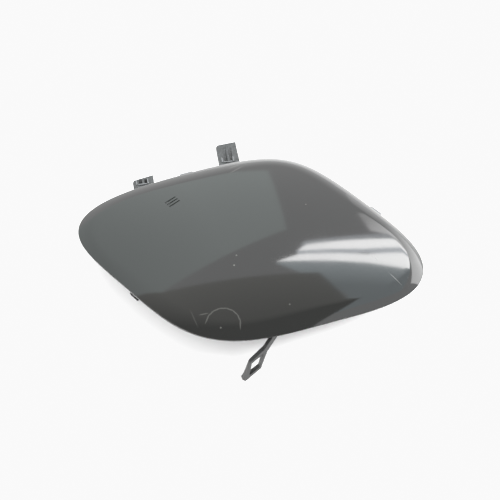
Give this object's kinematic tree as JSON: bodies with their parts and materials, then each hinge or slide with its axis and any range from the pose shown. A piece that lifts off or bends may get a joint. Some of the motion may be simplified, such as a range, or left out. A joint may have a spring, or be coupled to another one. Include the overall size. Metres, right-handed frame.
{
  "type": "bumper tow hook cover",
  "caption": "Gloss black rhomboid cover that clips over the tow eye opening in a bumper, with hook tongues, snap legs and a tether strap moulded on.",
  "frame": {"origin": "on the table, under the middle of the cover's box", "axes": "+Z out of the gloss face, +Y the way the two hook tongues point, +X along the longer side of the panel, to the right seen from the gloss face"},
  "size_m": [0.1238, 0.1052, 0.022],
  "materials": {
    "gloss_black_plastic": "high gloss on the crowned face, satin on the back, the hook tongues and the strap"
  },
  "bodies": {
    "root": {"tow_hook_cover": "gloss_black_plastic"}
  },
  "joints": []
}
